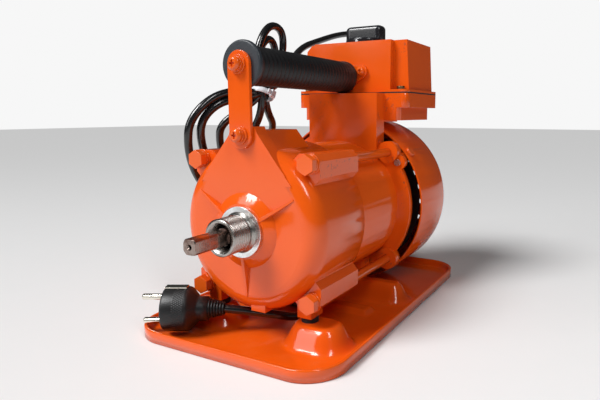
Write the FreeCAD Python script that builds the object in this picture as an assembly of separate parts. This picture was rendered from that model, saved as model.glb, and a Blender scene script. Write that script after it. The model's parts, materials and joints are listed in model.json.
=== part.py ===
import FreeCAD, Part
import math
import os

# Electric drive unit of a concrete vibrator, in millimetres, +Z up.
# The motor turns about a line along Y at x = 0; its drive end points to -Y.
# z = 0 is the ground under the base pan, and the origin lies on it below the motor axis.

V = FreeCAD.Vector
X, Y, Z = V(1, 0, 0), V(0, 1, 0), V(0, 0, 1)

# Driving dimensions
axis_z = 86.3            # height of the motor axis
bolt_half = 50.0         # tie bolts stand on a square of twice this
face_y = -56.0           # flat front face of the end shield
boss_y = -60.5           # front of its centre boss
shield_r = 63.0          # outer radius of the end shield
skirt_y = 13.5           # rear edge of the shield's skirt
barrel_r = 59.5          # outer radius of the motor housing
flange_y = 88.0          # front face of the housing's rear flange
flange_t = 6.0
flange_r = 71.8
wall_y = 100.0           # rear face of the housing's end wall
pan_x0, pan_x1 = -91.0, 87.0
pan_y0, pan_y1 = -90.5, 196.5
pan_t = 2.0
rim_h = 8.6
cowl_r = 79.5
cowl_y0, cowl_y1 = 99.0, 172.5
grip_z = 205.3
grip_r = 14.3
grip_y0, grip_y1 = -52.0, 94.5
box_w, box_y0, box_y1 = 59.0, 100.5, 180.0
box_floor, box_split, box_top = 165.0, 190.0, 238.8
spigot_r, spigot_bore = 13.4, 10.6
spigot_y = -83.4         # mouth of the threaded spigot
shaft_end = -111.4
shaft_r = 5.75
cord_r = 3.3
gap = 0.3

parts = {}


def keep(name, *shapes):
    """Store the solids of one sub-part under its name."""
    solids = [s for shape in shapes for s in shape.Solids]
    parts[name] = solids[0] if len(solids) == 1 else Part.makeCompound(solids)


def block(x0, x1, y0, y1, z0, z1):
    return Part.makeBox(x1 - x0, y1 - y0, z1 - z0, V(x0, y0, z0))


def rod(r, y0, y1, x=0.0, z=axis_z):
    """Cylinder along Y."""
    return Part.makeCylinder(r, y1 - y0, V(x, y0, z), Y)


def post(r, z0, z1, x, y):
    """Cylinder along Z."""
    return Part.makeCylinder(r, z1 - z0, V(x, y, z0), Z)


def ring(r_out, r_in, y0, y1, x=0.0, z=axis_z):
    return rod(r_out, y0, y1, x, z).cut(rod(r_in, y0 - 1, y1 + 1, x, z))


def turned(profile, x=0.0, z=axis_z):
    """Solid of revolution about the Y line through x, z; profile holds (radius, y)."""
    points = [V(x + r, y, z) for r, y in profile]
    face = Part.Face(Part.makePolygon(points + points[:1]))
    return face.revolve(V(x, 0, z), Y, 360)


def prism(outline, y0, y1):
    """Outline of (x, z) points drawn out along Y."""
    points = [V(x, y0, z) for x, z in outline]
    return Part.Face(Part.makePolygon(points + points[:1])).extrude(V(0, y1 - y0, 0))


def rounded(x0, x1, y0, y1, z0, z1, r):
    """Block with its four upright edges rounded."""
    body = block(x0, x1, y0, y1, z0, z1)
    upright = [e for e in body.Edges if abs(e.tangentAt(e.FirstParameter).z) > 0.9]
    return body.makeFillet(r, upright)


def hexagon(across, y0, y1, x, z):
    r = across / math.sqrt(3)
    outline = [(x + r * math.cos(a), z + r * math.sin(a))
               for a in (math.radians(60 * k + 30) for k in range(6))]
    return prism(outline, y0, y1)


def cross_recess(x, z, y, size):
    """Cross slot of a screw head whose face is at y."""
    return [block(x - a, x + a, y - 1, y + 1.8, z - b, z + b)
            for a, b in ((size, 0.28 * size), (0.28 * size, size))]


def fuse(shapes):
    body = shapes[0]
    for shape in shapes[1:]:
        body = body.fuse(shape)
    return body.removeSplitter()


def cut(body, tools):
    for tool in tools:
        body = body.cut(tool)
    return body


corners = [(sx * bolt_half, axis_z + sz * bolt_half) for sx in (-1, 1) for sz in (-1, 1)]
front_foot_x, front_foot_y = 42.5, -36.0
rear_foot_x, rear_foot_y = 26.0, 75.0
feet = [(sx * front_foot_x, front_foot_y) for sx in (-1, 1)]
feet += [(sx * rear_foot_x, rear_foot_y) for sx in (-1, 1)]
foot_z = 22.6            # underside of the cast feet
box_x = 4.5              # the terminal box and its neck stand a little to one side of the motor axis
saddle_h = 18.4          # top of the raised saddles in the pan


def base_pan():
    """Pressed pan: floor, upturned rim, four raised saddles and a shallow ridge."""
    outer = rounded(pan_x0, pan_x1, pan_y0, pan_y1, 0, rim_h, 30)
    inner = rounded(pan_x0 + pan_t, pan_x1 - pan_t, pan_y0 + pan_t, pan_y1 - pan_t,
                    pan_t, rim_h + 1, 28)
    pan = outer.cut(inner)
    saddles = [(sx * 50.0, front_foot_y, 29.0, 23.0, 9.5) for sx in (-1, 1)]
    saddles.append((0, rear_foot_y, 79.0, 17.0, 8.0))
    for x, y, half_x, half_y, draft in saddles:
        dome = saddle(x, y, half_x, half_y, saddle_h, draft)
        hollow = saddle(x, y, half_x - pan_t, half_y - pan_t, saddle_h - pan_t, draft)
        pan = pan.fuse(dome).cut(hollow)
    ridge = prism([(-62, pan_t - 0.5), (62, pan_t - 0.5), (58, 6), (-58, 6)], 27, 43)
    groove = prism([(-60, -1), (60, -1), (56, 4), (-56, 4)], 29, 41)
    pan = pan.fuse(ridge).cut(groove)
    below = block(-100, 100, -100, 200, -5, 0)
    return cut(pan, [below] + [post(3.3, -1, saddle_h + 2, x, y) for x, y in feet])


def saddle(x, y, half_x, half_y, top, draft):
    """Flat-topped drafted boss, wider at its foot."""
    loops = []
    for z, grow in ((-0.5, 0.0), (top, -draft)):
        a, b = half_x + grow, half_y + grow
        body = rounded(x - a, x + a, y - b, y + b, z, z + 1, b - 0.5)
        bottom = min(body.Faces, key=lambda f: f.CenterOfMass.z)
        loops.append(bottom.OuterWire)
    return Part.makeLoft(loops, True, True)


keep("base_pan", base_pan())
keep("foot_pads", *[post(6.5, saddle_h, foot_z, x, y).cut(post(3.3, 0, 60, x, y)) for x, y in feet])
keep("base_bolts", *[post(2.9, saddle_h - pan_t - 1, foot_z + 6, x, y).fuse(
    post(5.5, saddle_h - pan_t - 5, saddle_h - pan_t - 0.01, x, y)) for x, y in feet])


def end_shield():
    """Cast front shield: domed face, skirt, four lugs, ribs, centre boss and strap plate."""
    dome_r = 14.0
    steps = [(shield_r - dome_r + dome_r * math.sin(a), face_y + dome_r - dome_r * math.cos(a))
             for a in (math.radians(10 * k) for k in range(10))]
    shell = turned([(0, face_y)] + steps + [(shield_r, skirt_y), (0, skirt_y)])
    lugs = []
    for x, z in corners:
        sx = 1 if x > 0 else -1
        sz = 1 if z > axis_z else -1
        lugs.append(lug(sx, sz))
    plate = prism([(-10.5, 162), (10.5, 162), (13, 157), (41, 121), (-41, 121), (-23, 143.5), (-13, 155)],
                  face_y, face_y + 12)
    web = prism([(-10, 159), (10, 159), (36, 128), (-36, 128)], face_y, -2)
    slope = Part.makeBox(120, 60, 60, V(-60, 0, 0))
    slope.rotate(V(0, 0, 0), X, 34)
    slope.translate(V(0, -22, 159.5))
    web = web.cut(slope)
    boss = turned([(0, face_y + 1), (29, face_y + 1), (27, face_y - 1), (20.5, boss_y), (0, boss_y)])
    ribs = [rib(angle) for angle in (31, 147, 270)]
    feet_front = [block(x - 6, x + 6, -44, -28, foot_z, 50) for x in (-front_foot_x, front_foot_x)]
    tab = block(1, 14, -53, -44, 24.5, 34)
    body = fuse([shell, plate, web, boss, tab] + lugs + ribs + feet_front)
    cavity = turned([(0, face_y + 8), (46, face_y + 8), (58.5, face_y + 22), (60, -26),
                     (60, skirt_y + 1), (0, skirt_y + 1)])
    holes = [rod(4.5, -60, skirt_y + 1, x, z) for x, z in corners]
    holes.append(rod(17.5, face_y + 2, 0))          # bearing seat
    holes.append(rod(15.0, face_y - 8, 0))          # passage of the spigot and shaft
    holes.append(rod(3.0, face_y - 1, face_y + 13, 0, strap_low))
    holes += [post(3.0, foot_z - 1, foot_z + 13, x, front_foot_y) for x in (-front_foot_x, front_foot_x)]
    housing_seat = turned([(24, face_y + 9), (24, -30), (17.5, -30), (17.5, face_y + 9)])
    body = cut(body, [cavity]).fuse(housing_seat)
    return cut(body, holes).removeSplitter()


def lug(sx, sz):
    """Square corner lug with a 45 degree flank towards the barrel."""
    lo, hi = 34.0, 57.0
    outline = [(lo, lo), (46, lo - 6), (hi, 40), (hi, hi - 5), (hi - 5, hi), (40, hi), (lo - 6, 46)]
    return prism([(sx * a, axis_z + sz * b) for a, b in outline], -44, skirt_y)


def rib(angle):
    """Tapered rib from the boss out to the rounded edge of the face."""
    a = math.radians(angle)
    along, across = V(math.cos(a), 0, math.sin(a)), V(-math.sin(a), 0, math.cos(a))
    centre = V(0, 0, axis_z)
    loops = []
    for r, half, rise in ((19, 2.6, 5.0), (50, 1.2, 0.4)):
        base = centre + along * r
        pts = [base + across * half + V(0, face_y + 3, 0), base - across * half + V(0, face_y + 3, 0),
               base - across * half * 0.5 + V(0, face_y - rise, 0),
               base + across * half * 0.5 + V(0, face_y - rise, 0)]
        loops.append(Part.makePolygon(pts + pts[:1]))
    return Part.makeLoft(loops, True, True)


strap_low = 155.9        # height of the strap's lower screw
keep("front_end_shield", end_shield())


def on_circle(r, angle):
    a = math.radians(angle)
    return r * math.cos(a), axis_z + r * math.sin(a)


def radial(r, r0, r1, angle, y):
    """Cylinder along a radius of the motor axis."""
    a = math.radians(angle)
    along = V(math.cos(a), 0, math.sin(a))
    return Part.makeCylinder(r, r1 - r0, V(0, y, axis_z) + along * r0, along)


def motor_housing():
    """Barrel with rear flange and ears, end wall, neck and the open lower terminal box."""
    barrel = rod(barrel_r, -26, wall_y)
    flange = rod(flange_r, flange_y, flange_y + flange_t)
    ears = [rod(10, flange_y - 3, flange_y + flange_t, x, z) for x, z in corners]
    ears += [rod(7, flange_y, flange_y + flange_t, x, z) for x, z in cowl_ear_places]
    ears += [rod(5.5, flange_y + 1, 113, *on_circle(72, angle)) for angle in cowl_screw_angles]
    neck = block(box_x - 36, box_x + 36, 82, box_y0 - 2, axis_z + 40, box_split)
    throat = block(box_x - 36, box_x + 36, 97, 130, box_floor - 1.5, box_split - 8)
    tray = rounded(box_x - 51.5, box_x + 51.5, box_y0 - 2, box_y1 - 3, box_floor, box_split - 8, 4)
    lip = rounded(box_x - box_w, box_x + box_w, box_y0 - 2, box_y1 + 2, box_split - 13, box_split, 6)
    hub = rod(26, wall_y - 1, wall_y + 9)
    feet_rear = [block(x - 7, x + 7, rear_foot_y - 8, rear_foot_y + 8, foot_z, 40)
                 for x in (-rear_foot_x, rear_foot_x)]
    body = fuse([barrel, flange, neck, throat, tray, lip, hub] + ears + feet_rear)
    bore = rod(52, -27, wall_y - 6)
    room = rounded(box_x - 47, box_x + 47, 108, box_y1 - 8, box_floor + 3, box_split + 1, 4)
    wire_way = block(-14, 14, 85, 92, axis_z + 48, box_floor + 12)
    wire_turn = block(-14, 14, 85, 110, box_floor + 5, box_floor + 12)
    holes = [rod(4.05, flange_y - 14, wall_y, x, z) for x, z in corners]
    holes += [rod(16.0, wall_y - 7, wall_y + 4), rod(9.0, wall_y, wall_y + 10)]
    holes += [post(1.9, box_split - 12, box_split + 1, x, y) for x, y in cover_screw_places]
    holes += [post(3.0, foot_z - 1, foot_z + 8, x, rear_foot_y) for x in (-rear_foot_x, rear_foot_x)]
    holes += [rod(1.9, flange_y - 1, flange_y + 7, x, z) for x, z in cowl_ear_places]
    holes += [radial(2.05, 63, 82, angle, 107) for angle in cowl_screw_angles]
    return cut(body, [bore, room, wire_way, wire_turn] + holes).removeSplitter()


cover_screw_places = [(box_x + sx * 50.0, y) for sx in (-1, 1) for y in (box_y0 + 4.0, box_y1 - 4.0)]
notch = 8.0              # depth of the cover's corner notches, which leave room for its screws
cowl_ear_places = [(59.3, 127.1), (-59.3, 127.1)]
cowl_screw_angles = (38, 142, 270)
keep("motor_housing", motor_housing())

# Terminal box: cover, gasket and screws
cover_z = box_split + 1.2
lip_h = 2.3


def box_cover():
    """Drafted cover with a lip, four corner channels for its screws and a chamfered top edge."""
    lip = rounded(-box_w, box_w, box_y0 - 2, box_y1 + 2, cover_z, cover_z + lip_h, 6)
    low = block(-56.5, 56.5, box_y0, box_y1, cover_z, cover_z + 1).Faces
    high = block(-54, 54, box_y0 + 0.6, box_y1 - 2, box_top - 1, box_top).Faces
    wires = [min(low, key=lambda f: f.CenterOfMass.z).OuterWire,
             max(high, key=lambda f: f.CenterOfMass.z).OuterWire]
    shell = Part.makeLoft(wires, True, True)
    bevel = prism([(-60, box_top - 11.5), (-43.5, box_top + 5), (-60, box_top + 5)],
                  box_y0 - 5, box_y1 + 5)
    shell = shell.cut(bevel)
    wires = []
    levels = ((cover_z - 1, 53.5, box_y0 + 3, box_y1 - 3), (box_top - 3, 50.5, box_y0 + 3.6, box_y1 - 5))
    for z, half, y0, y1 in levels:
        wires.append(Part.makePolygon([V(-half, y0, z), V(half, y0, z), V(half, y1, z), V(-half, y1, z),
                                       V(-half, y0, z)]))
    cavity = Part.makeLoft(wires, True, True)
    pillars = [block(min(sx * 38, sx * 55), max(sx * 38, sx * 55), y0, y1, cover_z, box_top - 2)
               for sx in (-1, 1)
               for y0, y1 in ((box_y0 + 1, box_y0 + notch + 2.5), (box_y1 - notch - 2.5, box_y1 - 2.5))]
    body = shell.cut(cavity)
    for pillar in pillars:
        body = body.fuse(pillar.common(shell))
    body = body.fuse(lip.cut(block(-50, 50, box_y0 + 4, box_y1 - 4, cover_z - 1, cover_z + 5)))
    channels = [block(min(sx * 41, sx * 62), max(sx * 41, sx * 62), y0, y1, cover_z + lip_h, box_top + 1)
                for sx in (-1, 1)
                for y0, y1 in ((box_y0 - 3, box_y0 + notch), (box_y1 - notch, box_y1 + 3))]
    holes = [post(2.4, cover_z - 1, cover_z + 6, x, y) for x, y in cover_screw_places]
    holes.append(post(4.2, box_top - 5, box_top + 1, 0, knob_y))
    holes.append(rod(8.2, box_y1 - 6, box_y1 + 4, gland_x, gland_z))
    holes += [rod(1.7, box_y0 - 3, box_y0 + 6, x, z) for x, z in bracket_places]
    body = cut(body, channels)
    body.translate(V(box_x, 0, 0))
    return cut(body, holes).removeSplitter()


knob_y = 141.0
gland_x, gland_z = -25.0, 210.0
bracket_places = [(-16.5, grip_z - 5.5), (16.5, grip_z + 5.5)]
keep("terminal_box_cover", box_cover())
frame_seal = rounded(-box_w, box_w, box_y0 - 2, box_y1 + 2, box_split, cover_z, 6).cut(
    rounded(-47, 47, 108, box_y1 - 8, box_split - 1, cover_z + 1, 4))
frame_seal.translate(V(box_x, 0, 0))
keep("box_gasket", cut(frame_seal, [post(2.4, box_split - 1, cover_z + 1, x, y)
                                   for x, y in cover_screw_places]))
keep("cover_screws", *[post(1.85, box_split - 10, cover_z + lip_h + 0.5, x, y).fuse(
    post(3.8, cover_z + lip_h + 0.05, cover_z + lip_h + 3, x, y)) for x, y in cover_screw_places])

# Tie bolts, screwed into the ears of the rear flange, with their washers
seat_y = -44.0
ear_back = flange_y + flange_t
keep("tie_bolts", *[fuse([rod(4, seat_y - 3.4, ear_back + 2.5, x, z),
                          hexagon(13, seat_y - 8.9, seat_y - 3.35, x, z)]) for x, z in corners])
keep("spring_washers", *[ring(6.9, 4.15, seat_y - 3.3, seat_y - 1.5, x, z) for x, z in corners])
keep("flat_washers", *[ring(7.5, 4.2, seat_y - 1.45, seat_y - 0.02, x, z) for x, z in corners])

# Carrying handle
strap_y0, strap_y1 = face_y - 3.0, face_y - 0.02
strap = prism([(-9.7, strap_low), (9.7, strap_low), (9.7, grip_z), (-9.7, grip_z)],
                              strap_y0, strap_y1)
strap = fuse([strap, rod(9.7, strap_y0, strap_y1, 0, strap_low), rod(9.7, strap_y0, strap_y1, 0, grip_z)])
keep("handle_strap", cut(strap, [rod(3.1, -70, -50, 0, strap_low), rod(3.1, -70, -50, 0, grip_z)]))
strap_screw_z = (strap_low, grip_z)
keep("strap_screws", *[cut(turned([(0, strap_y0 - 6.6), (3.4, strap_y0 - 6.6), (5.0, strap_y0 - 5.2),
                                   (5.0, strap_y0 - 2.95),
                               (2.9, strap_y0 - 2.95), (2.9, strap_y0 + 14), (0, strap_y0 + 14)], 0, z),
                           cross_recess(0, z, strap_y0 - 6.6, 2.3)) for z in strap_screw_z])
keep("strap_washers", *[ring(r, 3.05, strap_y0 - a, strap_y0 - b, 0, z)
                        for z in strap_screw_z for r, a, b in ((5.4, 2.9, 1.5), (6.8, 1.45, 0.02))])
core_y0 = strap_y1 + 0.05
keep("handle_core", cut(rod(8.0, core_y0, box_y0 - 5.2),
                        [rod(3.0, -60, -40)]).translated(V(0, 0, grip_z - axis_z)))
keep("grip_end_flange", turned([(8.05, core_y0 + 0.05), (16.2, core_y0 + 0.05), (17.2, core_y0 + 1.2),
                                (17.2, core_y0 + 4.0), (16.2, grip_y0), (8.05, grip_y0)], 0, grip_z))
groove_count = 26
pitch = (grip_y1 - grip_y0 - 14) / groove_count
grip_line = [(8.05, grip_y0 + 0.05), (grip_r, grip_y0 + 0.05)]
for k in range(groove_count):
    y = grip_y0 + 5 + k * pitch
    grip_line += [(grip_r, y), (grip_r - 0.9, y + 0.3 * pitch), (grip_r - 0.9, y + 0.55 * pitch),
                  (grip_r, y + 0.85 * pitch)]
grip_line += [(grip_r, grip_y1 - 5), (grip_r + 0.6, grip_y1 - 4.4), (grip_r + 0.6, grip_y1 - 1),
              (8.05, grip_y1 - 1)]
keep("handle_grip", turned(grip_line, 0, grip_z))


def bracket():
    """Rhombus foot plate that holds the handle's rear end on the cover."""
    y0, y1 = box_y0 - 3.4, box_y0 - 0.35
    disc_r, ear_r = 11.4, 6.0
    ears = [rod(ear_r, y0, y1, x, z) for x, z in bracket_places]
    centre = rod(disc_r, y0, y1, 0, grip_z)
    links = []
    for x, z in bracket_places:
        a = math.atan2(z - grip_z, x)
        na, nb = (-math.sin(a), math.cos(a)), (math.sin(a), -math.cos(a))
        links.append(prism([(disc_r * na[0], grip_z + disc_r * na[1]), (disc_r * nb[0],
                                                            grip_z + disc_r * nb[1]),
                            (x + ear_r * nb[0], z + ear_r * nb[1]), (x + ear_r * na[0],
                                                            z + ear_r * na[1])], y0, y1))
    spigot = ring(10.8, 8.05, box_y0 - 6.5, y0 + 0.5, 0, grip_z)
    body = fuse([centre] + ears + links + [spigot])
    return cut(body, [rod(2.1, y0 - 1, y1 + 1, x, z) for x, z in bracket_places])


keep("handle_bracket", bracket())
keep("bracket_screws", *[cut(fuse([rod(1.65, box_y0 - 3.5, box_y0 + 4, x, z),
                               turned([(0, box_y0 - 6.4), (2.4, box_y0 - 6.4), (4.0, box_y0 - 5.0), (4.0,
                                       box_y0 - 3.45),
                                       (0, box_y0 - 3.45)], x, z)]),
                             cross_recess(x, z, box_y0 - 6.4, 1.9)) for x, z in bracket_places])

# Drive end: threaded spigot, its bare ring and the shaft seal
keep("drive_spigot", turned([(spigot_bore, spigot_y), (spigot_r - 0.9, spigot_y), (spigot_r, spigot_y + 0.9),
                             (spigot_r, -66.6), (spigot_r - 1.1, -65.6), (spigot_r - 1.1, -62.8),
                             (14.9, -62.8), (14.9, -54.2), (spigot_bore, -54.2)]))
keep("spigot_ring", ring(18.8, 14.95, -62.8, boss_y - 0.02))
keep("shaft_seal", turned([(7.0, -53.6), (17.4, -53.6), (17.4, -47.2), (15.0, -47.2), (15.0, -51.0),
                           (7.0, -51.0)]))

# Motor inside
keep("stator_core", ring(51.9, 30, -8, 72))
keep("stator_windings", *[turned([(34, a), (36, a + s * 12), (46, a + s * 14), (50, a + s * 8), (50, a)])
                          for a, s in ((-8.1, -1), (72.1, 1))])
keep("rotor_core", ring(29.6, 9.02, -8, 72))
keep("rotor_end_rings", *[turned([(17, a), (28, a), (28, a + s * 5), (24, a + s * 7), (17, a + s * 7)])
                          for a, s in ((-8.05, -1), (72.05, 1))])


def drive_shaft():
    """Stepped shaft with a four-flat drive end and a centre hole."""
    profile = [(0, shaft_end), (5.6, shaft_end), (6.3, shaft_end + 0.7), (6.3, -47.0), (7.48, -47.0),
               (7.48, -34.5),
               (9.0, -34.5), (9.0, 82), (7.6, 82), (7.6, 92.4), (5.98, 92.4), (5.98, 104), (5.48, 104),
                   (5.48, 146),
               (0, 146)]
    body = turned(profile)
    for k in range(4):
        flat = block(-10, 10, shaft_end - 1, -80, axis_z + 5.15, axis_z + 12)
        flat.rotate(V(0, 0, axis_z), Y, 90 * k)
        body = body.cut(flat)
    centre = turned([(0, shaft_end - 0.1), (2.1, shaft_end - 0.1), (1.3, shaft_end + 1.2), (1.3,
                     shaft_end + 6),
                     (0, shaft_end + 7)])
    return body.cut(centre)


def bearing(name, y0, y1, outer, outer_in, pitch_r, ball_r, inner_out, inner, count):
    """Deep-groove ball bearing: outer ring, balls, the cage's ring behind them, inner ring."""
    mid = (y0 + y1) / 2
    balls = []
    for k in range(count):
        x, z = on_circle(pitch_r, 360 * k / count)
        balls.append(Part.makeSphere(ball_r, V(x, mid, z)))
    keep(name + "_bearing_outer_ring", ring(outer, outer_in, y0, y1))
    keep(name + "_bearing_balls", *balls)
    keep(name + "_bearing_cage", ring(pitch_r + 0.9, pitch_r - 0.9, mid + ball_r + 0.05, mid + ball_r + 0.9))
    keep(name + "_bearing_inner_ring", ring(inner_out, inner, y0, y1))


keep("drive_shaft", drive_shaft())
bearing("front", -46.2, -35.2, 17.48, 14.62, 12.25, 2.25, 9.88, 7.5, 9)
bearing("rear", 93.0, 102.4, 15.98, 13.42, 11.2, 2.1, 8.98, 6.0, 9)
keep("wave_spring", ring(15.6, 13.8, 102.5, 103.9))


def cooling_fan():
    hub = rod(12, 116, 136)
    disc = rod(70, 116, 118)
    body = fuse([hub, disc])
    for k in range(10):
        blade = block(11, 58, 117.5, 134, axis_z - 1, axis_z + 1)
        blade.rotate(V(0, 0, axis_z), Y, 36 * k)
        body = body.fuse(blade)
    return body.cut(rod(5.5, 110, 140)).removeSplitter()


keep("cooling_fan", cooling_fan())
keep("fan_clip", ring(8.2, 5.5, 136.1, 137.3))


def fan_cowl():
    """Drawn steel drum with a rounded rear edge and a ring of radial vents."""
    t, edge = 1.3, 11.0
    arc = [(cowl_r - edge + edge * math.cos(a), cowl_y1 - edge + edge * math.sin(a))
           for a in (math.radians(15 * k) for k in range(7))]
    inner = [(cowl_r - edge + (edge - t) * math.cos(a), cowl_y1 - edge + (edge - t) * math.sin(a))
             for a in (math.radians(90 - 15 * k) for k in range(7))]
    flat = block(-38, 38, cowl_y0 - 1, cowl_y1 + 1, box_floor - 1.8, box_floor + 9)
    drum = turned([(cowl_r, cowl_y0)] + arc + [(0, cowl_y1), (0, cowl_y1 - t)] + inner + [(cowl_r - t,
                                                            cowl_y0)])
    tools = [flat]
    for k in range(20):
        slot = block(20, 56, cowl_y1 - 3, cowl_y1 + 1, axis_z - 2.2, axis_z + 2.2)
        slot.rotate(V(0, 0, axis_z), Y, 18 * k + 9)
        tools.append(slot)
    for angle in cowl_screw_angles:
        tools.append(radial(2.2, 60, cowl_r + 4, angle, 107))
    return cut(drum, tools)


keep("fan_cowl", fan_cowl())
keep("cowl_screws", *[fuse([radial(2.0, 66, cowl_r + 0.5, a, 107),
                            radial(4.6, cowl_r + 0.05, cowl_r + 2.8, a, 107)])
                      for a in cowl_screw_angles])
keep("ear_screws", *[fuse([rod(1.85, flange_y - 0.5, flange_y + 5.9, x, z),
                           rod(3.0, flange_y - 2.2, flange_y - 0.02, x, z)])
                     for x, z in cowl_ear_places])

# Inside the terminal box
keep("switch_body", cut(rounded(-21, 21, knob_y - 21, knob_y + 19, 206, box_top - 3.2, 3),
                        [post(4.2, 212, box_top, 0, knob_y)]))
keep("terminal_block", block(-22, 22, 109, 121, box_floor + 3.02, box_floor + 14))
cap_y, cap_z = 152.0, 184.0
keep("run_capacitor", Part.makeCylinder(13.5, 66, V(-33, cap_y, cap_z), X))
keep("capacitor_clamp", fuse([Part.makeCylinder(15, 9, V(-4.5, cap_y, cap_z), X),
                              block(-4.5, 4.5, cap_y - 15, cap_y + 15, box_floor + 3.02, box_floor + 6)]).cut(
    Part.makeCylinder(13.55, 12, V(-6, cap_y, cap_z), X)))

# Switch knob on its spindle
knob_z = box_top + 0.5


def switch_knob():
    """Round skirt with a broad wing across it."""
    skirt = post(20, knob_z, knob_z + 7, 0, knob_y)
    skirt = skirt.makeFillet(2, [max(skirt.Edges, key=lambda e: e.CenterOfMass.z)])
    wing = rounded(-20.5, 20.5, knob_y - 8, knob_y + 8, knob_z, knob_z + 19.5, 6)
    top = [e for e in wing.Edges if e.BoundBox.ZMin > knob_z + 19]
    wing = wing.makeFillet(4.5, top)
    body = skirt.fuse(wing).removeSplitter()
    screw_hole = rod(1.55, knob_y - 22, knob_y - 3, 0, knob_z + 3.4)
    return cut(body, [post(4.0, knob_z - 1, knob_z + 14, 0, knob_y), screw_hole])


keep("switch_knob", switch_knob())
keep("switch_spindle", post(3.98, 212.3, knob_z + 13.8, 0, knob_y))
keep("knob_screw", fuse([rod(1.5, knob_y - 20.5, knob_y - 4.1, 0, knob_z + 3.4)]))

# Supply cord: gland, free stretches, hank, tie and plug
gland_y = box_y1 + 0.35
cord_exit = V(gland_x, 207, gland_z)
keep("cord_gland", turned([(cord_r, gland_y - 8), (8.0, gland_y - 8), (8.0, gland_y), (10.5, gland_y),
                           (10.5, gland_y + 5), (7.2, gland_y + 7), (6.8, gland_y + 9), (4.4, cord_exit.y),
                           (cord_r, cord_exit.y)], gland_x, gland_z))

loop_route = [cord_exit, V(-26, 231, 213), V(-34, 251, 231), V(-48, 247, 257), V(-58, 222, 267),
              V(-60, 188, 261), V(-61, 150, 250), V(-61, 114, 239), V(-53, 82, 220), V(-42, 52, 201)]
tail_route = [V(-73, 27, 109), V(-76, 31, 88), V(-79, 34, 66), V(-81, 35, 44), V(-79, 30, 25), V(-70, 19, 12),
              V(-53, 11, 6.2), V(-33, 14, 5.6), V(-11, 21, 5.6), V(11, 8, 6), V(17, -16, 8), V(6, -37, 17.5),
              V(-24.2, -53.6, 21.6)]


def cord_tube(route, label):
    """Tube of straight runs joined by tangent arcs, each as large as its two runs allow."""
    runs = [(b - a).Length for a, b in zip(route, route[1:])]
    edges, radii, start = [], [], route[0]
    for k in range(1, len(route) - 1):
        before, after = (route[k] - route[k - 1]).normalize(), (route[k + 1] - route[k]).normalize()
        half = before.getAngle(after) / 2
        reach = 0.45 * min(runs[k - 1], runs[k])
        radii.append(reach / math.tan(half))
        enter, leave = route[k] - before * reach, route[k] + after * reach
        inward = (after - before).normalize()
        middle = route[k] + inward * (radii[-1] / math.cos(half) - radii[-1])
        edges += [Part.LineSegment(start, enter).toShape(), Part.Arc(enter, middle, leave).toShape()]
        start = leave
    edges.append(Part.LineSegment(start, route[-1]).toShape())
    path = Part.Wire(edges)
    ring_edge = Part.makeCircle(cord_r, route[0], route[1] - route[0])
    tube = path.makePipeShell([Part.Wire([ring_edge])], True, False)
    ideal = math.pi * cord_r ** 2 * path.Length
    print(label, "length", round(path.Length), "volume ratio", round(tube.Volume / ideal, 3),
          "radii", [round(r) for r in radii])
    return tube


keep("supply_cord_loop", cord_tube(loop_route, "loop"))
keep("supply_cord_tail", cord_tube(tail_route, "tail"))
tie_at = V(-40, 20, 188)
waist = V(0, 0.45, 0.89).normalize()
lower_loop = [tie_at, V(-46, -8, 189), V(-55, -28, 181), V(-63, -42, 162), V(-67.5, -37, 138), V(-70,
              -22, 114),
              V(-71, 0, 107), V(-71, 20, 120), V(-66, 36, 140), V(-52, 38, 160), tie_at]
upper_loop = [tie_at, V(-40, 13, 212), V(-40, 19, 234), V(-40, 34, 245), V(-40, 50, 242), V(-41, 53, 223),
              V(-41, 38, 204), tie_at]


def bundle(points, r):
    """Rods with ball joints along a closed loop, the outer shape of the gathered turns."""
    shapes = []
    for a, b in zip(points, points[1:]):
        shapes += [Part.makeCylinder(r, (b - a).Length, a, b - a), Part.makeSphere(r, b)]
    return shapes


stubs = [Part.makeCylinder(cord_r + 1.5, 16, V(-42, 52, 201), tie_at - V(-42, 52, 201)),
         Part.makeCylinder(5, 13, V(-71, 20, 120), tail_route[0] - V(-71, 20, 120))]
hank = fuse(bundle(lower_loop, 7.0) + bundle(upper_loop, 4.0)
            + [Part.makeCylinder(8.6, 22, tie_at - waist * 11, waist)] + stubs)
band = Part.makeCylinder(10.4, 4.4, tie_at - waist * 2.2, waist).cut(
    Part.makeCylinder(9.3, 6, tie_at - waist * 3, waist))
hank = cut(hank, [parts["supply_cord_loop"], parts["supply_cord_tail"], band])
keep("supply_cord_hank", max(hank.Solids, key=lambda s: s.Volume))
keep("cable_tie", band)

plug_face = V(-64.9, -75.1, 21.6)
plug_turn = -62.1


def at_plug(shape):
    """Move a shape made about the Y line through the origin so that it points along the plug."""
    shape.rotate(V(0, 0, 0), Z, plug_turn)
    shape.translate(plug_face)
    return shape


body = turned([(0, 0), (15.5, 0), (17, 1.5), (17, 19), (13, 23), (9.6, 26), (9.6, 33), (6.4, 34), (4.6, 45.9),
               (0, 45.9)], 0, 0)
keep("plug_body", at_plug(cut(body, [rod(2.42, -1, 12, 0, z) for z in (-9.5, 9.5)])))
keep("plug_pins", *[at_plug(turned([(0, -17.5), (1.6, -17.5), (2.4, -16.4), (2.4, 11.9), (0, 11.9)], 0, z))
                    for z in (-9.5, 9.5)])
keep("plug_earth_clips", *[at_plug(block(-3.5, 3.5, 1, 18, min(z, z + s), max(z, z + s)))
                           for z, s in ((17.05, 1.0), (-17.05, -1.0))])

os.makedirs("parts", exist_ok=True)
for name, shape in parts.items():
    if not shape.isValid():
        print("invalid", name)
    shape.exportStep("parts/" + name + ".step")
print(len(parts), "nodes")
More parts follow.
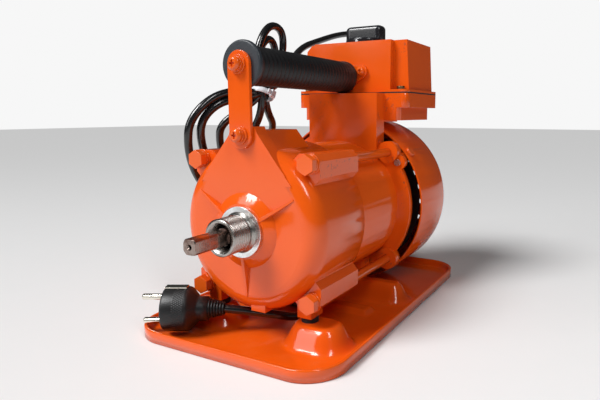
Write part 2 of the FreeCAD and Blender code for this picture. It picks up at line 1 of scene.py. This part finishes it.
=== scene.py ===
import bpy
import bmesh
import json
import math
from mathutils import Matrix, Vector


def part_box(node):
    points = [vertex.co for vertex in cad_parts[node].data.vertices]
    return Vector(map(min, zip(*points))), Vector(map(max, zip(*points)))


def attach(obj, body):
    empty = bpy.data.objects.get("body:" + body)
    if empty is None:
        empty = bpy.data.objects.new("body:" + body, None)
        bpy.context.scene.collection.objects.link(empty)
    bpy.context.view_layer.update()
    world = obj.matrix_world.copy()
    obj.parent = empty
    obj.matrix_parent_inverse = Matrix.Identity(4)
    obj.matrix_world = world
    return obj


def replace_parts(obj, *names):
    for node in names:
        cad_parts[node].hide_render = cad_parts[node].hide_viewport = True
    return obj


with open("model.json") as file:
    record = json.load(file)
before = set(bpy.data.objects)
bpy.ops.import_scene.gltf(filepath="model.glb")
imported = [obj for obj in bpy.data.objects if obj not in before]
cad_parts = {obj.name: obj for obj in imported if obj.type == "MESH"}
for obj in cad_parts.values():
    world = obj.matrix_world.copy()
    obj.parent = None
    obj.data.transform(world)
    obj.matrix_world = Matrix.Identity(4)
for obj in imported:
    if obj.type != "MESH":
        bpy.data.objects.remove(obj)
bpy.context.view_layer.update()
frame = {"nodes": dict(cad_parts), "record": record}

nodes = frame["nodes"]
mm = 0.001
axisZ = sum(c.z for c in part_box("drive_shaft")) / 2
print("frame loaded", len(nodes), "nodes")


cameraSettings = {"place": (0.2424, -0.3474, 0.1706), "turn": 27.9, "tilt": 8.1, "lens": 31.06,
                  "shift": (-0.0862, -0.02)}


def makeCamera(s):
    data = bpy.data.cameras.new("camera")
    data.lens = s["lens"]
    data.sensor_width = 36.0
    data.shift_x, data.shift_y = s["shift"]
    data.clip_start = 0.01
    cam = bpy.data.objects.new("camera", data)
    cam.location = s["place"]
    cam.rotation_euler = (math.radians(90 - s["tilt"]), 0, math.radians(s["turn"]))
    bpy.context.scene.collection.objects.link(cam)
    bpy.context.scene.camera = cam


makeCamera(cameraSettings)
print("camera set")


def addObject(name, data, body="root"):
    thing = bpy.data.objects.new(name, data)
    bpy.context.scene.collection.objects.link(thing)
    if body:
        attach(thing, body)
    return thing


def meshFrom(name, verts, faces, material, smooth=True):
    mesh = bpy.data.meshes.new(name)
    mesh.from_pydata(verts, [], faces)
    mesh.validate()
    bm = bmesh.new()
    bm.from_mesh(mesh)
    bmesh.ops.recalc_face_normals(bm, faces=bm.faces)
    bm.to_mesh(mesh)
    bm.free()
    mesh.shade_smooth() if smooth else mesh.shade_flat()
    mesh.materials.append(material)
    return mesh


def latheMesh(name, profile, material, count=96, ripple=None, closed=True):
    # profile holds (radius, along); the solid turns about local Y
    verts, faces = [], []
    for k in range(count):
        a = 2 * math.pi * k / count
        for r, y in profile:
            grown = r + (ripple(a, y) if ripple else 0.0)
            verts.append((grown * math.cos(a), y, grown * math.sin(a)))
    n = len(profile)
    for k in range(count):
        m = (k + 1) % count
        for j in range(n if closed else n - 1):
            i = (j + 1) % n
            faces.append((k * n + j, m * n + j, m * n + i, k * n + i))
    return meshFrom(name, verts, faces, material)


def put(tree, kind, sockets=None, **settings):
    n = tree.nodes.new(kind)
    for key, value in settings.items():
        setattr(n, key, value)
    for key, value in (sockets or {}).items():
        if isinstance(value, bpy.types.NodeSocket):
            tree.links.new(value, n.inputs[key])
        else:
            n.inputs[key].default_value = value
    return n


def newGroup(name, ins, outs):
    tree = bpy.data.node_groups.new(name, "ShaderNodeTree")
    for label, value in ins.items():
        s = tree.interface.new_socket(name=label, in_out="INPUT", socket_type="NodeSocketFloat")
        s.default_value = value
    for label in outs:
        tree.interface.new_socket(name=label, in_out="OUTPUT", socket_type="NodeSocketFloat")
    return tree, tree.nodes.new("NodeGroupInput"), tree.nodes.new("NodeGroupOutput")


def maths(tree, operation, a, b=0.0, clamp=False):
    n = tree.nodes.new("ShaderNodeMath")
    n.operation = operation
    n.use_clamp = clamp
    for k, value in enumerate((a, b)):
        if isinstance(value, bpy.types.NodeSocket):
            tree.links.new(value, n.inputs[k])
        else:
            n.inputs[k].default_value = value
    return n.outputs[0]


def ramp(tree, value, low, high):
    n = put(tree, "ShaderNodeMapRange", {"Value": value, "From Min": low, "From Max": high})
    n.interpolation_type = "SMOOTHSTEP"
    return n.outputs["Result"]


def noise(tree, where, scale, detail=3.0, rough=0.55, warp=0.0):
    return put(tree, "ShaderNodeTexNoise", {"Vector": where, "Scale": scale, "Detail": detail, "Roughness": rough,
                                           "Distortion": warp}).outputs["Fac"]


def spot(tree):
    return put(tree, "ShaderNodeTexCoord").outputs["Object"]


def paintGroup():
    # fine ripple of sprayed paint, soft colour drift, and chips where edges are sharp
    tree, gin, gout = newGroup("sprayedPaint", {"Ripple Scale": 420.0, "Drift Scale": 22.0, "Chip Amount": 0.3},
                               ("Ripple", "Drift", "Chip"))
    where = spot(tree)
    fine = noise(tree, where, gin.outputs["Ripple Scale"], 2.0)
    broad = noise(tree, where, 95.0, 2.0)
    tree.links.new(maths(tree, "ADD", maths(tree, "MULTIPLY", fine, 0.35), broad), gout.inputs["Ripple"])
    tree.links.new(noise(tree, where, gin.outputs["Drift Scale"], 4.0), gout.inputs["Drift"])
    edge = ramp(tree, put(tree, "ShaderNodeNewGeometry").outputs["Pointiness"], 0.56, 0.66)
    breaks = ramp(tree, noise(tree, where, 260.0, 5.0, 0.7), 0.56, 0.64)
    chips = maths(tree, "MULTIPLY", maths(tree, "MULTIPLY", edge, breaks), gin.outputs["Chip Amount"], True)
    tree.links.new(chips, gout.inputs["Chip"])
    return tree


def grimeGroup():
    # dust that settles on upward faces, broken by noise, and a rubbed variation
    tree, gin, gout = newGroup("settledDust", {"Scale": 60.0, "Amount": 0.3}, ("Dust", "Rub"))
    where = spot(tree)
    up = put(tree, "ShaderNodeSeparateXYZ", {"Vector": put(tree, "ShaderNodeNewGeometry").outputs["Normal"]})
    facing = ramp(tree, up.outputs["Z"], 0.3, 1.0)
    patch = ramp(tree, noise(tree, where, gin.outputs["Scale"], 5.0, 0.65), 0.42, 0.7)
    dust = maths(tree, "MULTIPLY", maths(tree, "MULTIPLY", facing, patch), gin.outputs["Amount"], True)
    tree.links.new(dust, gout.inputs["Dust"])
    tree.links.new(noise(tree, where, 34.0, 3.0, 0.6, 0.4), gout.inputs["Rub"])
    return tree


def turningGroup():
    # fine rings left by a lathe about the motor's axis
    tree, gin, gout = newGroup("latheMarks", {"Pitch": 3600.0, "Radial": 1.0}, ("Marks", "Stain"))
    where = spot(tree)
    parts = put(tree, "ShaderNodeSeparateXYZ", {"Vector": where}).outputs
    high = maths(tree, "SUBTRACT", parts["Z"], axisZ)
    r = maths(tree, "SQRT", maths(tree, "ADD", maths(tree, "MULTIPLY", parts["X"], parts["X"]),
                                  maths(tree, "MULTIPLY", high, high)))
    along = maths(tree, "ADD", maths(tree, "MULTIPLY", r, gin.outputs["Radial"]), parts["Y"])
    wave = maths(tree, "SINE", maths(tree, "MULTIPLY", along, gin.outputs["Pitch"]))
    jitter = noise(tree, where, 900.0, 3.0)
    tree.links.new(maths(tree, "ADD", maths(tree, "MULTIPLY", wave, 0.25), jitter), gout.inputs["Marks"])
    tree.links.new(ramp(tree, noise(tree, where, 130.0, 5.0, 0.7), 0.4, 0.72), gout.inputs["Stain"])
    return tree


def grainGroup():
    # pebbled skin of moulded plastic and rubber
    tree, gin, gout = newGroup("mouldedSkin", {"Scale": 900.0}, ("Grain", "Bloom"))
    where = spot(tree)
    cells = put(tree, "ShaderNodeTexVoronoi", {"Vector": where, "Scale": gin.outputs["Scale"]}).outputs["Distance"]
    tree.links.new(cells, gout.inputs["Grain"])
    tree.links.new(noise(tree, where, 48.0, 5.0, 0.65), gout.inputs["Bloom"])
    return tree


groups = {"paint": paintGroup(), "grime": grimeGroup(), "turning": turningGroup(), "grain": grainGroup()}


def blank(name, **shader):
    mat = bpy.data.materials.new(name)
    mat.use_nodes = True
    tree = mat.node_tree
    bsdf = tree.nodes["Principled BSDF"]
    for key, value in shader.items():
        bsdf.inputs[key.replace("_", " ")].default_value = value
    return mat, tree, bsdf


def useGroup(tree, which, **values):
    n = tree.nodes.new("ShaderNodeGroup")
    n.node_tree = groups[which]
    for key, value in values.items():
        n.inputs[key.replace("_", " ")].default_value = value
    return n.outputs


def mixed(tree, factor, a, b):
    n = put(tree, "ShaderNodeMix", data_type="RGBA")
    tree.links.new(factor, n.inputs["Factor"])
    for key, value in ((6, a), (7, b)):
        if isinstance(value, bpy.types.NodeSocket):
            tree.links.new(value, n.inputs[key])
        else:
            n.inputs[key].default_value = (*value, 1.0)
    return n.outputs[2]


def blendValue(tree, factor, low, high):
    n = put(tree, "ShaderNodeMapRange", {"Value": factor, "To Min": low, "To Max": high})
    return n.outputs["Result"]


def bump(tree, bsdf, height, strength, distance):
    n = put(tree, "ShaderNodeBump", {"Height": height, "Strength": strength, "Distance": distance})
    tree.links.new(n.outputs["Normal"], bsdf.inputs["Normal"])


def paintMaterial(name, s):
    mat, tree, bsdf = blank(name, Coat_Weight=s["coat"], Coat_Roughness=0.06, IOR=1.5)
    skin = useGroup(tree, "paint", Chip_Amount=s["chips"], Ripple_Scale=s["ripple"])
    dirt = useGroup(tree, "grime", Amount=s["dust"])
    base = mixed(tree, skin["Drift"], s["light"], s["deep"])
    dusty = mixed(tree, dirt["Dust"], base, s["dustColour"])
    final = mixed(tree, skin["Chip"], dusty, (0.12, 0.09, 0.075))
    tree.links.new(final, bsdf.inputs["Base Color"])
    rough = blendValue(tree, dirt["Rub"], s["smooth"], s["dull"])
    tree.links.new(maths(tree, "ADD", rough, maths(tree, "MULTIPLY", skin["Chip"], 0.3)), bsdf.inputs["Roughness"])
    tree.links.new(maths(tree, "MULTIPLY", skin["Chip"], 0.6), bsdf.inputs["Metallic"])
    bump(tree, bsdf, skin["Ripple"], s["bump"], 0.0004)
    return mat


def metalMaterial(name, s):
    mat, tree, bsdf = blank(name, IOR=2.0)
    cut = useGroup(tree, "turning", Pitch=s["pitch"], Radial=s["radial"])
    dirt = useGroup(tree, "grime", Amount=s["dust"])
    base = mixed(tree, cut["Stain"], s["bright"], s["stained"])
    tree.links.new(mixed(tree, dirt["Dust"], base, (0.3, 0.26, 0.22)), bsdf.inputs["Base Color"])
    tree.links.new(blendValue(tree, cut["Stain"], s["smooth"], s["dull"]), bsdf.inputs["Roughness"])
    bsdf.inputs["Metallic"].default_value = s["metal"]
    bump(tree, bsdf, cut["Marks"], s["bump"], 0.00012)
    return mat


def mouldedMaterial(name, s):
    mat, tree, bsdf = blank(name, Coat_Weight=s["coat"], Coat_Roughness=0.1)
    skin = useGroup(tree, "grain", Scale=s["scale"])
    dirt = useGroup(tree, "grime", Amount=s["dust"])
    base = mixed(tree, skin["Bloom"], s["dark"], s["bloom"])
    tree.links.new(mixed(tree, dirt["Dust"], base, (0.2, 0.18, 0.16)), bsdf.inputs["Base Color"])
    tree.links.new(blendValue(tree, skin["Bloom"], s["smooth"], s["dull"]), bsdf.inputs["Roughness"])
    bump(tree, bsdf, skin["Grain"], s["bump"], 0.0003)
    return mat


paintBase = {"coat": 0.2, "chips": 0.35, "ripple": 420.0, "dust": 0.05, "light": (0.84, 0.115, 0.006),
             "deep": (0.76, 0.085, 0.003), "dustColour": (0.75, 0.3, 0.12), "smooth": 0.10, "dull": 0.20,
             "bump": 0.12}
metalBase = {"pitch": 3600.0, "radial": 1.0, "dust": 0.1, "bright": (0.62, 0.6, 0.57), "stained": (0.36, 0.32, 0.28),
             "smooth": 0.22, "dull": 0.45, "metal": 1.0, "bump": 0.25}
mouldedBase = {"coat": 0.0, "scale": 1400.0, "dust": 0.04, "dark": (0.004, 0.004, 0.005),
               "bloom": (0.009, 0.009, 0.010), "smooth": 0.32, "dull": 0.5, "bump": 0.15}
finishes = {
    "orange_casting": paintMaterial("orangeCasting", paintBase),
    "orange_sheet": paintMaterial("orangeSheet", {**paintBase, "chips": 0.9, "ripple": 300.0, "bump": 0.07}),
    "orange_fastener": paintMaterial("orangeFastener", {**paintBase, "chips": 0.5, "deep": (0.7, 0.1, 0.01)}),
    "grip_rubber": mouldedMaterial("gripRubber", {**mouldedBase, "smooth": 0.38, "dull": 0.55}),
    "grey_rubber": mouldedMaterial("greyRubber", {**mouldedBase, "dark": (0.018, 0.023, 0.029),
                                                  "bloom": (0.032, 0.039, 0.048)}),
    "pad_rubber": mouldedMaterial("padRubber", {**mouldedBase, "smooth": 0.6, "dull": 0.85}),
    "zinc_steel": metalMaterial("zincSteel", {**metalBase, "bright": (0.66, 0.66, 0.68)}),
    "dark_screw": metalMaterial("bronzeScrew", {**metalBase, "bright": (0.34, 0.24, 0.12),
                                                "stained": (0.13, 0.08, 0.04)}),
    "threaded_steel": metalMaterial("threadSteel", {**metalBase, "bright": (0.44, 0.42, 0.4),
                                                    "stained": (0.33, 0.3, 0.27), "smooth": 0.24, "dull": 0.36,
                                                    "bump": 0.08, "dust": 0.02}),
    "bare_ring": metalMaterial("bareRing", {**metalBase, "bright": (0.86, 0.87, 0.88), "stained": (0.7, 0.7, 0.7),
                                            "pitch": 9000.0, "smooth": 0.24, "dull": 0.36}),
    # shaft steel is given a dark reddish-brown colour: a painted reflection of the orange paint and dark
    # surroundings, with darker stain patches mixed in by noise
    "shaft_steel": metalMaterial("shaftSteelPaintedReflection", {**metalBase, "bright": (0.34, 0.27, 0.24),
                                                "stained": (0.19, 0.12, 0.1), "smooth": 0.18}),
    "bearing_steel": metalMaterial("bearingSteel", {**metalBase, "smooth": 0.08, "dull": 0.16}),
    "core_steel": metalMaterial("coreSteel", {**metalBase, "pitch": 12000.0, "radial": 0.0}),
    "copper": metalMaterial("copperWire", {**metalBase, "bright": (0.75, 0.3, 0.12), "stained": (0.4, 0.14, 0.06)}),
    "cast_aluminium": metalMaterial("castAluminium", {**metalBase, "bright": (0.7, 0.7, 0.71), "smooth": 0.4}),
    "black_plastic": mouldedMaterial("blackPlastic", mouldedBase),
    "knob_plastic": mouldedMaterial("knobPlastic", {**mouldedBase, "coat": 0.4, "smooth": 0.16, "dull": 0.28,
                                                    "dark": (0.018, 0.021, 0.027), "bump": 0.04}),
    "capacitor_case": mouldedMaterial("capacitorCase", {**mouldedBase, "dark": (0.7, 0.7, 0.66),
                                                        "bloom": (0.62, 0.61, 0.57)}),
    "cord_jacket": mouldedMaterial("cordJacket", {**mouldedBase, "coat": 0.5, "smooth": 0.16, "dull": 0.3,
                                                  "bump": 0.05, "dust": 0.05}),
    "white_nylon": mouldedMaterial("whiteNylon", {**mouldedBase, "dark": (0.78, 0.8, 0.84),
                                                  "bloom": (0.7, 0.72, 0.76), "dust": 0.0}),
    "plug_metal": metalMaterial("plugMetal", {**metalBase, "bright": (0.82, 0.79, 0.7), "stained": (0.6, 0.56, 0.48),
                                              "smooth": 0.12, "dull": 0.25}),
}
slotOf = {row["node"]: row["material_slot"] for row in frame["record"]["subparts"]}
for name, thing in nodes.items():
    thing.data.materials.clear()
    thing.data.materials.append(finishes[slotOf[name]])
print("materials made", len(finishes))


# supply cord in millimetres: over the box, through the tied hank, round under the motor to the plug
overBox = [(-25, 207, 210), (-26, 231, 213), (-34, 251, 231), (-48, 247, 257), (-58, 222, 267),
    (-60, 188, 261), (-61, 150, 250), (-61, 114, 239), (-53, 82, 220), (-42, 52, 201)]
tiedHank = [(-40, 20, 188), (-46, -8, 190.5), (-55, -28, 184), (-63, -44, 166), (-66, -44, 146),
    (-69, -36, 126), (-71, -20, 107), (-72, 0, 107), (-72, 6, 126), (-69, -4, 146), (-62, -10, 162),
    (-50, 4, 174), (-40, 20, 188), (-40, 12, 210), (-39, 16, 232), (-39, 32, 249), (-40, 52, 246),
    (-41, 54, 226), (-41, 40, 204), (-40, 20, 188), (-45, -6, 184), (-53, -24, 179), (-60, -36, 164),
    (-64, -30, 142), (-68, -14, 122), (-70, 8, 118), (-66, 22, 138), (-50, 22, 160), (-42, 20, 172),
    (-40, 20, 188), (-43, 18, 208), (-44, 22, 226), (-44, 34, 238), (-45, 46, 234), (-45, 48, 216),
    (-44, 38, 200), (-43, 27, 186), (-45, 34, 172), (-50, 50, 160), (-60, 50, 142), (-70, 36, 124)]
toPlug = [(-73, 27, 109), (-76, 31, 88), (-79, 34, 66), (-81, 35, 44), (-79, 30, 25), (-70, 19, 12),
    (-53, 11, 6.2), (-33, 14, 5.6), (-11, 21, 5.6), (11, 8, 6), (17, -16, 8), (6, -37, 17.5),
    (-24.2, -53.6, 21.6)]
cordValues = {"diameter": 0.0066, "length": 1.436, "exit": (-0.025, 0.207, 0.210), "smoothness": 8}


def makeCord(s):
    data = bpy.data.curves.new("supplyCord", "CURVE")
    data.dimensions = "3D"
    data.resolution_u = s["smoothness"]
    data.bevel_depth = s["diameter"] / 2
    data.bevel_resolution = 6
    data.use_fill_caps = True
    route = overBox + tiedHank + toPlug
    line = data.splines.new("NURBS")
    line.points.add(len(route) - 1)
    for point, (x, y, z) in zip(line.points, route):
        point.co = (x * mm, y * mm, z * mm, 1.0)
    line.order_u = 3
    line.use_endpoint_u = True
    data.materials.append(finishes["cord_jacket"])
    thing = addObject("supplyCord", data)
    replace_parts(thing, "supply_cord_loop", "supply_cord_hank", "supply_cord_tail")
    return thing


supplyCord = makeCord(cordValues)
print("cord laid")

# nylon tie: strap round the waist of the hank, ratchet head and cut tail
tieValues = {"place": (-0.040, 0.020, 0.188), "along": (0, 0.45, 0.89), "inner": 0.0093, "outer": 0.0103,
             "width": 0.0044, "head": (0.0030, 0.0062, 0.0052), "tail": 0.0045}


def makeTie(s):
    half = s["width"] / 2
    e = 0.0002
    profile = [(s["inner"], -half + e), (s["inner"] + e, -half), (s["outer"] - e, -half), (s["outer"], -half + e),
               (s["outer"], half - e), (s["outer"] - e, half), (s["inner"] + e, half), (s["inner"], half - e)]
    mesh = latheMesh("cableTie", profile, finishes["white_nylon"], 72, lambda a, y: 0.00006 * math.sin(60 * a))
    bm = bmesh.new()
    bm.from_mesh(mesh)
    for size, spot3 in ((s["head"], (s["outer"] + 0.0008, 0, 0)),
                        ((0.0011, s["width"] * 0.8, s["tail"]), (s["outer"] + 0.0009, 0, 0.0045))):
        made = bmesh.ops.create_cube(bm, size=1.0)["verts"]
        bmesh.ops.scale(bm, vec=size, verts=made)
        bmesh.ops.translate(bm, vec=spot3, verts=made)
        rims = list({edge for v in made for edge in v.link_edges})
        bmesh.ops.bevel(bm, geom=rims, offset=0.0003, segments=2, affect="EDGES", profile=0.5)
    bm.to_mesh(mesh)
    bm.free()
    thing = bpy.data.objects.new("cableTie", mesh)
    bpy.context.scene.collection.objects.link(thing)
    thing.location = s["place"]
    thing.rotation_euler = Vector(s["along"]).to_track_quat("Y", "Z").to_euler()
    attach(thing, "root")
    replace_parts(thing, "cable_tie")
    return thing


cableTie = makeTie(tieValues)

# moulded plug: round head, stippled grip behind it and a ribbed strain relief
plugValues = {"face": (-0.0649, -0.0751, 0.0216), "turn": -62.1, "dots": 64, "dotPitch": 0.00142,
              "dotHeight": 0.00025}


def makePlug(s):
    line = [(0, 0.5), (12.6, 0.5), (13.2, 0), (15.2, 0), (16.2, 0.4), (16.8, 1.2), (17, 2.2), (17, 9.2)]
    line += [(17, 9.4 + 0.2 * k) for k in range(45)]
    line += [(17, 18.4),
            (16.6, 19.6), (15.4, 21), (13, 23), (11, 24.8), (9.5, 26), (9.3, 27), (9.3, 32.8)]
    for k in range(6):
        y, r = 33.4 + 2.1 * k, 7.6 - 0.52 * k
        line += [(r - 0.9, y), (r - 0.9, y + 0.7), (r, y + 0.9), (r, y + 1.8), (r - 0.9, y + 2.0)]
    line += [(3.9, 45.8), (0, 45.8)]

    def dots(a, y):
        if not 0.0095 < y < 0.018:
            return 0.0
        row = (y - 0.0095) / s["dotPitch"]
        lean = math.pi * int(row)
        return s["dotHeight"] * max(0.0, math.sin(s["dots"] * a + lean)) * math.sin(math.pi * (row % 1.0))

    mesh = latheMesh("plugBody", [(r * mm, y * mm) for r, y in line], finishes["black_plastic"], 384, dots)
    thing = bpy.data.objects.new("plugBody", mesh)
    bpy.context.scene.collection.objects.link(thing)
    thing.rotation_euler = (0, 0, math.radians(s["turn"]))
    thing.location = s["face"]
    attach(thing, "root")
    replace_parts(thing, "plug_body")
    return thing


plugBody = makePlug(plugValues)

print("tie and plug made")

# spigot: cut thread, run-out groove and the plain bore behind it
threadValues = {"pitch": 0.002, "depth": 0.00085, "start": -0.0828, "end": -0.0667, "steps": 8}


def makeSpigot(s):
    y = s["start"]
    line = [(0.0106, -0.0834), (0.0122, -0.0834)]
    while y < s["end"]:
        line.append((0.0134, y))
        y += s["pitch"] / s["steps"]
    line += [(0.0134, -0.0666), (0.0123, -0.0657), (0.0123, -0.0629), (0.01488, -0.0628), (0.01488, -0.0543),
             (0.0106, -0.0543)]

    def groove(a, y):
        if not s["start"] + 0.0002 < y < s["end"]:
            return 0.0
        turn = (y / s["pitch"] + a / (2 * math.pi)) % 1.0
        fade = min(1.0, (y - s["start"]) / 0.001, (s["end"] - y) / 0.001)
        return -s["depth"] * abs(2 * turn - 1) ** 1.2 * fade

    mesh = latheMesh("threadedSpigot", line, finishes["threaded_steel"], 144, groove)
    thing = bpy.data.objects.new("threadedSpigot", mesh)
    bpy.context.scene.collection.objects.link(thing)
    thing.location = (0, 0, axisZ)
    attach(thing, "root")
    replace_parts(thing, "drive_spigot")


makeSpigot(threadValues)
print("spigot threaded")

# pressed pan in millimetres: rolled rim, soft-shouldered saddles under the feet and a shallow cross ridge
panValues = {"left": -91.0, "right": 87.0, "front": -90.5, "back": 196.5, "corner": 30.0, "thick": 2.0,
             "rim": 8.6, "fillet": 3.5, "saddleTop": 18.4, "shoulder": 13.0,
             "saddles": [(-50, -36, 29, 23), (50, -36, 29, 23), (0, 75, 79, 17)],
             "ridge": (27, 43, 60, 6.0), "step": 1.7}


def eased(t):
    t = min(1.0, max(0.0, t))
    return t * t * (3 - 2 * t)


def insideBy(x, y, halfX, halfY, corner):
    # distance inside a rounded rectangle, negative outside
    dx, dy = abs(x) - halfX + corner, abs(y) - halfY + corner
    return corner - math.hypot(max(dx, 0.0), max(dy, 0.0)) - min(max(dx, dy), 0.0)


def panHeight(x, y, fromEdge, s):
    raised = 0.0
    for cx, cy, halfX, halfY in s["saddles"]:
        into = insideBy(x - cx, y - cy, halfX, halfY, halfY - 0.5)
        raised = max(raised, (s["saddleTop"] - s["thick"]) * eased(into / s["shoulder"]))
    y0, y1, halfX, top = s["ridge"]
    across = eased(min(y - y0, y1 - y) / 3.0 + 0.3) * eased((halfX - abs(x)) / 5.0)
    raised = max(raised, (top - s["thick"]) * across)
    wall = (s["rim"] - s["thick"]) * (1 - eased((fromEdge - s["thick"]) / s["fillet"]))
    rolled = 0.5 * max(0.0, 1 - fromEdge / 0.6) ** 2
    return s["thick"] + max(raised, wall) - rolled, max(0.0, raised)


def spaced(low, high, step):
    edge = [0.0, 0.2, 0.4, 0.6, 1.0, 1.5, 2.0, 2.5, 3.0, 3.5, 4.0, 4.6, 5.3, 6.0]
    inner = int((high - low - 12.0) / step)
    middle = [low + 6.0 + (high - low - 12.0) * k / inner for k in range(1, inner)]
    return [low + e for e in edge] + middle + [high - e for e in reversed(edge)]


def makePan(s):
    midX, midY = (s["left"] + s["right"]) / 2, (s["front"] + s["back"]) / 2
    halfX, halfY, corner = (s["right"] - s["left"]) / 2, (s["back"] - s["front"]) / 2, s["corner"]
    xs, ys = spaced(-halfX, halfX, s["step"]), spaced(-halfY, halfY, s["step"])
    top, under = [], []
    for x in xs:
        for y in ys:
            a, b = (abs(x) - halfX + corner) / corner, (abs(y) - halfY + corner) / corner
            px, py = x, y
            if a > 0 and b > 0:
                px = math.copysign(halfX - corner + corner * a * math.sqrt(1 - b * b / 2), x)
                py = math.copysign(halfY - corner + corner * b * math.sqrt(1 - a * a / 2), y)
            fromEdge = max(0.0, insideBy(px, py, halfX, halfY, corner))
            high, raised = panHeight(px + midX, py + midY, fromEdge, s)
            top.append(((px + midX) * mm, (py + midY) * mm, high * mm))
            under.append(((px + midX) * mm, (py + midY) * mm, raised * mm))
    n, m, total = len(xs), len(ys), len(xs) * len(ys)
    faces = []
    for i in range(n - 1):
        for j in range(m - 1):
            k = i * m + j
            faces += [(k, k + m, k + m + 1, k + 1), (total + k, total + k + 1, total + k + m + 1, total + k + m)]
    rim = [i * m for i in range(n)] + [(n - 1) * m + j for j in range(1, m)]
    rim += [i * m + m - 1 for i in range(n - 2, -1, -1)] + list(range(m - 2, 0, -1))
    faces += [(a, b, b + total, a + total) for a, b in zip(rim, rim[1:] + rim[:1])]
    mesh = meshFrom("pressedPan", top + under, faces, finishes["orange_sheet"])
    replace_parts(addObject("pressedPan", mesh), "base_pan")


makePan(panValues)
print("pan pressed")

# softened edges, in millimetres, on the castings, pressings, fasteners and mouldings
edgeSizes = {"orange_casting": 1.1, "orange_sheet": 0.5, "orange_fastener": 0.35, "grip_rubber": 0.25,
             "grey_rubber": 0.6, "zinc_steel": 0.2, "dark_screw": 0.3, "knob_plastic": 0.9, "black_plastic": 0.4,
             "plug_metal": 0.2, "bare_ring": 0.25}


def soften(sizes):
    for name, thing in nodes.items():
        size = sizes.get(slotOf[name])
        if not size:
            continue
        join = thing.modifiers.new("join", "WELD")
        join.merge_threshold = 0.00001
        flat = thing.modifiers.new("flat", "DECIMATE")
        flat.decimate_type = "DISSOLVE"
        flat.angle_limit = math.radians(0.6)
        edge = thing.modifiers.new("edge", "BEVEL")
        edge.width = size * mm
        edge.segments = 2
        edge.limit_method = "ANGLE"
        edge.angle_limit = math.radians(38)
        edge.use_clamp_overlap = True
        edge.harden_normals = True


soften(edgeSizes)
print("edges softened")


# soft studio: a pale backdrop, with less sky light reaching the machine than the backdrop shows
lighting = {"sky": 0.05, "backdrop": 0.93, "floor": (0.86, 0.86, 0.86), "sun": 2.9, "spread": 24.0, "key": 3.5,
            "rim": 2.2}


def panel(name, place, target, size, watts, colour=(1, 1, 1)):
    lamp = bpy.data.lights.new(name, "AREA")
    lamp.shape = "RECTANGLE"
    lamp.size, lamp.size_y = size
    lamp.energy = watts
    lamp.color = colour
    thing = bpy.data.objects.new(name, lamp)
    thing.location = place
    thing.rotation_euler = (Vector(target) - Vector(place)).to_track_quat("-Z", "Y").to_euler()
    bpy.context.scene.collection.objects.link(thing)


def daylight(name, place, target, strength, spread):
    lamp = bpy.data.lights.new(name, "SUN")
    lamp.energy = strength
    lamp.angle = math.radians(spread)
    thing = bpy.data.objects.new(name, lamp)
    thing.rotation_euler = (Vector(target) - Vector(place)).to_track_quat("-Z", "Y").to_euler()
    bpy.context.scene.collection.objects.link(thing)


def makeStage(s):
    mesh = meshFrom("floor", [(-6, -6, 0), (6, -6, 0), (6, 6, 0), (-6, 6, 0)], [(0, 1, 2, 3)], None, False)
    mesh.materials.clear()
    mat, tree, bsdf = blank("floorPaper", Roughness=0.6)
    where = spot(tree)
    tree.links.new(mixed(tree, noise(tree, where, 40.0), s["floor"], tuple(c * 0.985 for c in s["floor"])),
                   bsdf.inputs["Base Color"])
    mesh.materials.append(mat)
    floor = addObject("floor", mesh, None)
    floor.location.z = -0.0006
    world = bpy.data.worlds.new("studio")
    world.use_nodes = True
    tree = world.node_tree
    seen = put(tree, "ShaderNodeLightPath").outputs["Is Camera Ray"]
    tree.nodes["Background"].inputs["Color"].default_value = (1, 1, 1, 1)
    tree.links.new(blendValue(tree, seen, s["sky"], s["backdrop"]), tree.nodes["Background"].inputs["Strength"])
    bpy.context.scene.world = world
    bpy.context.scene.view_settings.view_transform = "Standard"
    middle = (0, 0.03, 0.12)
    panel("keyLight", (-0.75, -0.95, 0.75), middle, (0.6, 0.6), s["key"])
    daylight("softSun", (-0.5, -0.75, 1.25), middle, s["sun"], s["spread"])
    panel("rimLight", (0.5, -0.35, 0.75), middle, (0.12, 0.5), s["rim"])


makeStage(lighting)
print("stage set")
